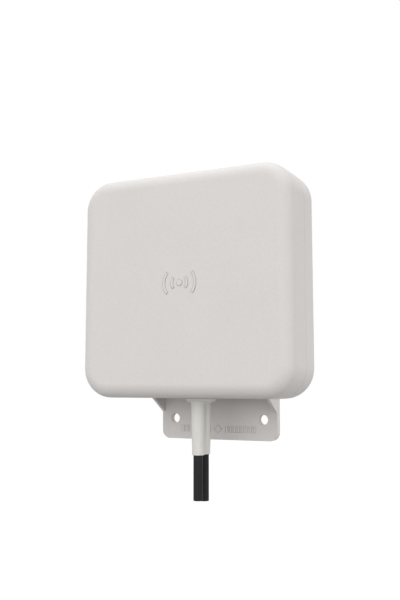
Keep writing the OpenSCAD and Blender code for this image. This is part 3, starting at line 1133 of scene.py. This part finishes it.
@dataclass
class ScrewSet:
    """Screws of one kind whose heads show in counterbores, modelled once and copied."""

    node: str
    places: Places
    head_r: float
    head_h: float
    shank_r: float
    drive: Drive
    paint: Paintbox

    def recess(self, x: float, z: float, head_back: float) -> Piece:
        """Models the tool that presses the drive's recess into a head.

        Args:
            x: The screw's place across.
            z: The screw's height.
            head_back: The head's back, where the recess opens.

        Returns:
            The tool.
        """
        start, end = head_back + PAST, head_back - 0.6 * self.head_h
        if self.drive is Drive.HEXALOBULAR:
            r, narrowed = 0.5 * self.head_r, 0.74
            tool = turned("recess_tool", Along.FORWARDS, (x, z), [(r, start), (r, end)], 12)
            edit(tool)
            pick(tool, "verts", lambda place: round(
                math.degrees(math.atan2(place.z - z, place.x - x)) / 30) % 2 == 0)
        else:
            long, short, narrowed = 0.58 * self.head_r, 0.13 * self.head_r, 0.55
            tool, other = [block("recess_tool", (x - w, end, z - h), (x + w, start, z + h))
                           for w, h in ((long, short), (short, long))]
            combine(tool, other, Joint.WELD)
            edit(tool)
            pick(tool, "verts", lambda place: place.y < (head_back + end) / 2)
        bpy.ops.transform.resize(value=(narrowed, 1, narrowed), center_override=(x, start, z))
        leave()
        return tool

    def build(self) -> None:
        """Builds the screws and hands them over as one piece."""
        low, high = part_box(self.node)
        head_back, tip = high.y, low.y
        x, z = self.places[0]
        head = [(r * self.head_r, head_back - h * self.head_h) for r, h in PAN_HEAD]
        screw = turned("screw", Along.FORWARDS, (x, z), head + [
            (self.shank_r, head_back - self.head_h), (self.shank_r, tip + 0.6 * MM),
            (0.6 * self.shank_r, tip)], 40)
        combine(screw, self.recess(x, z, head_back), Joint.CUT)
        shade(screw, 35)
        copies = [copy_of(screw, (px - x, 0, pz - z)) for px, pz in self.places[1:]]
        piece = join(f"{self.node}_turned", [screw] + copies)
        self.paint.deliver(piece, "screws", self.node)


# ---------------------------------------------------------------- the bracket


@dataclass
class Bracket:
    """The wall plate with its walls, its spacer tubes and its raised marks."""

    plate_t: float = 5.2 * MM
    corner_r: float = 6 * MM
    corner_steps: int = 10
    side_t: float = 2 * MM
    side_foot: float = 4 * MM
    hole_r: float = 3.45 * MM
    hole_x: float = 34 * MM
    tube_r: float = 5 * MM
    mark_z: float = -7 * MM
    mark_h: float = 0.3 * MM
    bar: Point = (1.6 * MM, 4.2 * MM)
    bar_first: float = 6.6 * MM
    bar_pitch: float = 3 * MM
    bar_count: int = 8
    diamond: float = 4 * MM
    head_r: float = 3.8 * MM
    head_bore_r: float = 3.95 * MM
    head_bore_d: float = 3.2 * MM
    bore_r: float = 2.15 * MM
    # How deep the walls and the tubes stand in the plate
    root: float = 1 * MM
    paint: Paintbox = field(default_factory=Paintbox)

    def __post_init__(self) -> None:
        """Reads the bracket's place from the frame, and the tubes' from the screws in them."""
        self.low, self.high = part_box("wall_bracket")
        self.body_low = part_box("rear_cover")[0].z
        self.standoff = self.low.y
        self.face = -self.plate_t
        self.tubes = corner_places("bracket_screws", self.head_r)

    def plate(self) -> Piece:
        """Models the flat plate with its round corners and its drilled and counterbored holes.

        Returns:
            The plate.
        """
        plate = block("bracket_plate", (self.low.x, self.face, self.low.z), self.high)
        round_upright_corners(plate, self.corner_r, self.corner_steps)
        front, back = self.face - PAST, PAST
        drill(plate, Along.FORWARDS, [(-self.hole_x, 0), (self.hole_x, 0)],
              [(self.hole_r, back), (self.hole_r, front)])
        drill(plate, Along.FORWARDS, self.tubes, [
            (self.head_bore_r, back), (self.head_bore_r, -self.head_bore_d),
            (self.bore_r, -self.head_bore_d), (self.bore_r, front)], 40)
        return plate

    def walls(self) -> Piece:
        """Models the walls round the gap to the housing: a top, and two sides with slanted feet.

        Returns:
            The walls.
        """
        walls = block("bracket_walls", (self.low.x, self.standoff, self.side_foot),
                      (self.high.x, self.face + self.root, self.high.z))
        round_upright_corners(walls, self.corner_r, self.corner_steps,
                              lambda middle: middle.z > 0.5 * self.high.z)
        edit(walls)
        pick(walls, "faces",
             lambda middle, normal: abs(normal.y) > SQUARE or normal.z < -SQUARE)
        bpy.ops.mesh.delete(type="FACE")
        leave()
        wall(walls, self.side_t)
        edit(walls)
        bpy.ops.mesh.select_all(action="SELECT")
        run, rise = self.standoff - self.face, self.body_low - self.side_foot
        bpy.ops.mesh.bisect(plane_co=(0, self.face, self.side_foot), plane_no=(0, rise, -run),
                            use_fill=True, clear_inner=run < 0, clear_outer=run >= 0)
        bpy.ops.mesh.select_all(action="SELECT")
        bpy.ops.mesh.normals_make_consistent(inside=False)
        leave()
        return walls

    def mark_shapes(self, reach: Reach) -> list[Piece]:
        """Models the row of bars and the diamond, one of each and then copies.

        Args:
            reach: How far the shapes reach.

        Returns:
            The bars and the diamond.
        """
        grow, top, foot = reach.grow, reach.top, reach.foot
        half_w, half_h = [size / 2 + grow for size in self.bar]
        bar = block("plate_bar", (self.bar_first - half_w, top, self.mark_z - half_h),
                    (self.bar_first + half_w, foot, self.mark_z + half_h))
        steps = [i * self.bar_pitch for i in range(self.bar_count)]
        moves = steps[1:] + [-2 * self.bar_first - step for step in steps]
        bars = [bar] + [copy_of(bar, (move, 0, 0)) for move in moves]
        half = self.diamond / 2 + grow
        diamond = block("plate_diamond", (-half, top, self.mark_z - half),
                        (half, foot, self.mark_z + half))
        edit(diamond)
        bpy.ops.mesh.select_all(action="SELECT")
        bpy.ops.transform.rotate(value=math.pi / 4, orient_axis="Y",
                                 center_override=(0, foot, self.mark_z))
        leave()
        return bars + [diamond]

    def build(self) -> None:
        """Builds the bracket and hands it over."""
        piece = self.plate()
        combine(piece, self.walls(), Joint.WELD)
        for place in self.tubes:
            spacer = tube("spacer_tube", place, self.bore_r, self.tube_r,
                          (self.face + self.root, self.standoff), 48)
            combine(piece, spacer, Joint.WELD)
        soften(piece, 0.4 * MM, 3)
        marks = raise_marks(piece, self.face, self.mark_h, self.mark_shapes)
        piece = join("bracket_moulding", [piece] + marks)
        shade(piece)
        self.paint.deliver(piece, "bracket", "wall_bracket")


# ---------------------------------------------------------------- boot and leads


@dataclass
class CableBoot:
    """The moulded boot: a dished flange and a twin-lobed sleeve that narrows downwards."""

    lobe_r: float = 4.7 * MM
    low_r: float = 4.1 * MM
    web_r: float = 3.2 * MM
    flange_t: float = 2.3 * MM
    # The flange's underside from its middle outwards: how far in, and how far above the foot
    dish: Outline = ((3.4 * MM, -0.5 * MM), (1.2 * MM, 0.2 * MM), (0.3 * MM, 1.0 * MM),
                     (0.0, 1.5 * MM))
    bore_r: float = 3.25 * MM
    bore_d: float = 5 * MM
    skin: float = 0.3 * MM
    paint: Paintbox = field(default_factory=Paintbox)

    def build(self) -> Piece:
        """Builds the boot and hands it over.

        Returns:
            The boot.
        """
        low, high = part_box("cable_boot")
        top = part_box("rear_cover")[0].z
        flange_r = (high.x - low.x) / 2
        foot = top - self.flange_t
        boot = turned("boot_sleeve", Along.UPRIGHT, (0, sum(LEAD_Y) / 2),
                      [(flange_r - inward, foot + rise) for inward, rise in self.dish]
                      + [(flange_r, top)], 72)
        for y in LEAD_Y:
            lobe = turned("boot_lobe", Along.UPRIGHT, (0, y),
                          [(self.low_r, low.z), (self.lobe_r, foot), (self.lobe_r, high.z)], 56)
            combine(boot, lobe, Joint.WELD)
        web = block("boot_web", (-self.web_r, LEAD_Y[0], low.z), (self.web_r, LEAD_Y[1], high.z))
        combine(boot, web, Joint.WELD)
        # An even skin, eased a little, gives the sleeve the soft inner corners of a moulding
        take(boot)
        boot.data.remesh_voxel_size = self.skin
        bpy.ops.object.voxel_remesh()
        work(boot, "SMOOTH", factor=0.5, iterations=14)
        drill(boot, Along.UPRIGHT, [(0, y) for y in LEAD_Y],
              [(self.bore_r, low.z - PAST), (self.bore_r, low.z + self.bore_d)])
        boot = join("boot_moulding", [boot])
        shade(boot, 40)
        return self.paint.deliver(boot, "boot", "cable_boot")


@dataclass
class Lead:
    """One coaxial lead: its jacket as a tube round the CAD layers that show at its cut end."""

    which: str
    y: float
    lead_r: float = 3.2 * MM
    bore_r: float = 2.45 * MM
    cut_ease: float = 0.15 * MM
    lower_wall: float = 2.5 * MM
    rings: int = 24
    paint: Paintbox = field(default_factory=Paintbox)

    def jacket(self) -> tuple[Piece, list[tuple[float, float, float]]]:
        """Models the jacket as a tube that is cut square at its lower end.

        Returns:
            The jacket, and the points down its middle from the top to the cut end.
        """
        low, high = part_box(f"jacket_{self.which}")
        drop = (low.z - high.z) / self.rings
        path = [(0.0, self.y, high.z + drop * i) for i in range(self.rings + 1)]
        r, ease = self.lead_r, self.cut_ease
        outline = ([(self.bore_r, high.z), (r - ease, high.z), (r, high.z - ease)]
                   + [(r, z) for _, _, z in path[1:-1]]
                   + [(r, low.z + ease), (r - ease, low.z), (self.bore_r, low.z)])
        jacket = turned(f"jacket_tube_{self.which}", Along.UPRIGHT, (0, self.y),
                        outline + [outline[0]], ring=True)
        shade(jacket, 50)
        return jacket, path

    def build(self, boot: list[Piece]) -> None:
        """Args:
            boot: Not used.
        """
        jacket, path = self.jacket()
        self.paint.deliver(jacket, "lead_jacket", f"jacket_{self.which}")


# ---------------------------------------------------------------- studio


@dataclass(frozen=True)
class Lamp:
    """One soft square lamp that looks at the antenna's middle, its power in watts."""

    name: str
    place: Point
    size: float
    power: float


LAMPS = (Lamp("front_soft", (-0.1, -1.7, 0.05), 2.2, 19.0),
         Lamp("overhead_soft", (0.0, -0.02, 1.25), 0.9, 3.9),
         Lamp("right_soft", (1.5, -0.3, 0.05), 0.9, 3.9),
         Lamp("back_soft", (0.0, 1.7, 0.05), 1.0, 3.5))


@dataclass
class Studio:
    """The camera, the floor, the white surround and the lamps."""

    yaw: float = 25.6
    pitch: float = 6.28
    stand: Point = (0.22203, -0.4983, 0.02508)
    lens: float = 45.36
    sensor: float = 36
    nearest: float = 0.01
    middle: Point = (0, -0.045, 0.09)
    ambient: float = 0.85
    floor_z: float = -0.30
    floor_size: float = 12
    floor_colour: str = "8E8D8C"
    floor_roughness: float = 0.9
    # How much of the floor is plain white to the camera, and how bright that white is
    floor_white: float = 0.85
    floor_glow: float = 1.17

    def camera(self) -> None:
        """Sets up the camera: low and to the right, looking slightly up at the housing."""
        data = bpy.data.cameras.new("camera")
        data.lens = self.lens
        data.sensor_width = self.sensor
        data.clip_start = self.nearest
        camera = bpy.data.objects.new("camera", data)
        bpy.context.scene.collection.objects.link(camera)
        turn = Euler((math.radians(90 + self.pitch), 0, math.radians(self.yaw)))
        camera.matrix_world = Matrix.Translation(self.stand) @ turn.to_matrix().to_4x4()
        bpy.context.scene.camera = camera

    def seen_rays(self, tree: bpy.types.NodeTree) -> Socket:
        """Marks the rays that the surround is seen by, straight, in a reflection or through glass.

        Args:
            tree: The world's or a material's node tree.

        Returns:
            A socket that is 1 for those rays and 0 for the light that falls on the antenna.
        """
        rays = add_node(tree, "ShaderNodeLightPath").outputs
        seen = reckon(tree, "MAXIMUM", rays["Is Camera Ray"], rays["Is Glossy Ray"])
        return reckon(tree, "MAXIMUM", seen, rays["Is Transmission Ray"])

    def surround(self) -> None:
        """Makes the surround white to the camera and in reflections, and soft grey as a light."""
        world = bpy.data.worlds.new("surround")
        bpy.context.scene.world = world
        world.use_nodes = True
        tree = world.node_tree
        tree.nodes.clear()
        soft = add_node(tree, "ShaderNodeBackground", links={0: WHITE, 1: self.ambient})
        white = add_node(tree, "ShaderNodeBackground", links={0: WHITE, 1: 1.0})
        mix = add_node(tree, "ShaderNodeMixShader",
                       links={0: self.seen_rays(tree), 1: soft.outputs[0], 2: white.outputs[0]})
        add_node(tree, "ShaderNodeOutputWorld", links={0: mix.outputs[0]})

    def floor(self) -> None:
        """Lays the plain pale floor, which keeps a soft shadow."""
        bpy.ops.object.select_all(action="DESELECT")
        bpy.ops.mesh.primitive_plane_add(size=self.floor_size, location=(0, 0, self.floor_z))
        floor = settle("floor")
        look = Look("floor_paper_white")
        tree = look.tree
        floor.data.materials.append(look.done(Base_Color=linear(self.floor_colour),
                                              Roughness=self.floor_roughness))
        seen = reckon(tree, "MULTIPLY", self.seen_rays(tree), self.floor_white)
        white = add_node(tree, "ShaderNodeEmission", links={0: WHITE, 1: self.floor_glow})
        paper = add_node(tree, "ShaderNodeMixShader",
                         links={0: seen, 1: look.shader.outputs[0], 2: white.outputs[0]})
        # From below the floor is clear, so that the underside can be looked at
        side = add_node(tree, "ShaderNodeNewGeometry")
        clear = add_node(tree, "ShaderNodeBsdfTransparent")
        mix = add_node(tree, "ShaderNodeMixShader", links={
            0: side.outputs["Backfacing"], 1: paper.outputs[0], 2: clear.outputs[0]})
        tree.links.new(mix.outputs[0], tree.nodes["Material Output"].inputs[0])

    def light(self) -> None:
        """Sets the lamps: a broad front one, one overhead, one on the right and one behind."""
        for lamp in LAMPS:
            data = bpy.data.lights.new(lamp.name, "AREA")
            data.shape = "SQUARE"
            data.size = lamp.size
            data.energy = lamp.power
            stand = bpy.data.objects.new(lamp.name, data)
            stand.location = lamp.place
            aim = Vector(self.middle) - Vector(lamp.place)
            stand.rotation_euler = aim.to_track_quat("-Z", "Y").to_euler()
            bpy.context.scene.collection.objects.link(stand)

    def build(self) -> None:
        """Sets up everything apart from the camera, which comes first of all."""
        bpy.context.scene.view_settings.view_transform = "Standard"
        self.surround()
        self.floor()
        self.light()
        log.info("studio: floor at %.2f m, %d soft lamps", self.floor_z, len(LAMPS))


def dress_nodes(paint: Paintbox) -> None:
    """Gives every CAD node that still shows the finish of its own slot.

    Args:
        paint: Where the materials come from.
    """
    for part in frame["record"]["subparts"]:
        node, slot = frame["nodes"].get(part["node"]), part.get("material_slot")
        if node is not None and slot in SLOT_FINISHES:
            paint.dress(node, slot)
            log.info("%s: CAD node in %s", part["node"], paint.material(slot).name)


def main() -> None:
    """Builds the antenna's looks in order and reports each piece."""
    logging.basicConfig(level=logging.INFO, format="%(name)s: %(message)s")
    studio = Studio()
    studio.camera()
    paint = Paintbox()
    dress_nodes(paint)
    boot = CableBoot(paint=paint).build()
    Lead("front", LEAD_Y[0], paint=paint).build([boot])
    Lead("rear", LEAD_Y[1], paint=paint).build([])
    housing = Housing(paint=paint)
    housing.build()
    bracket = Bracket(paint=paint)
    bracket.build()
    ScrewSet("cover_screws", housing.posts(), 2.8 * MM, 2 * MM, 1.5 * MM,
             Drive.CROSS, paint).build()
    ScrewSet("bracket_screws", bracket.tubes, 3.8 * MM, 2.6 * MM, 2 * MM,
             Drive.HEXALOBULAR, paint).build()
    studio.build()


if __name__ == "__main__":
    main()
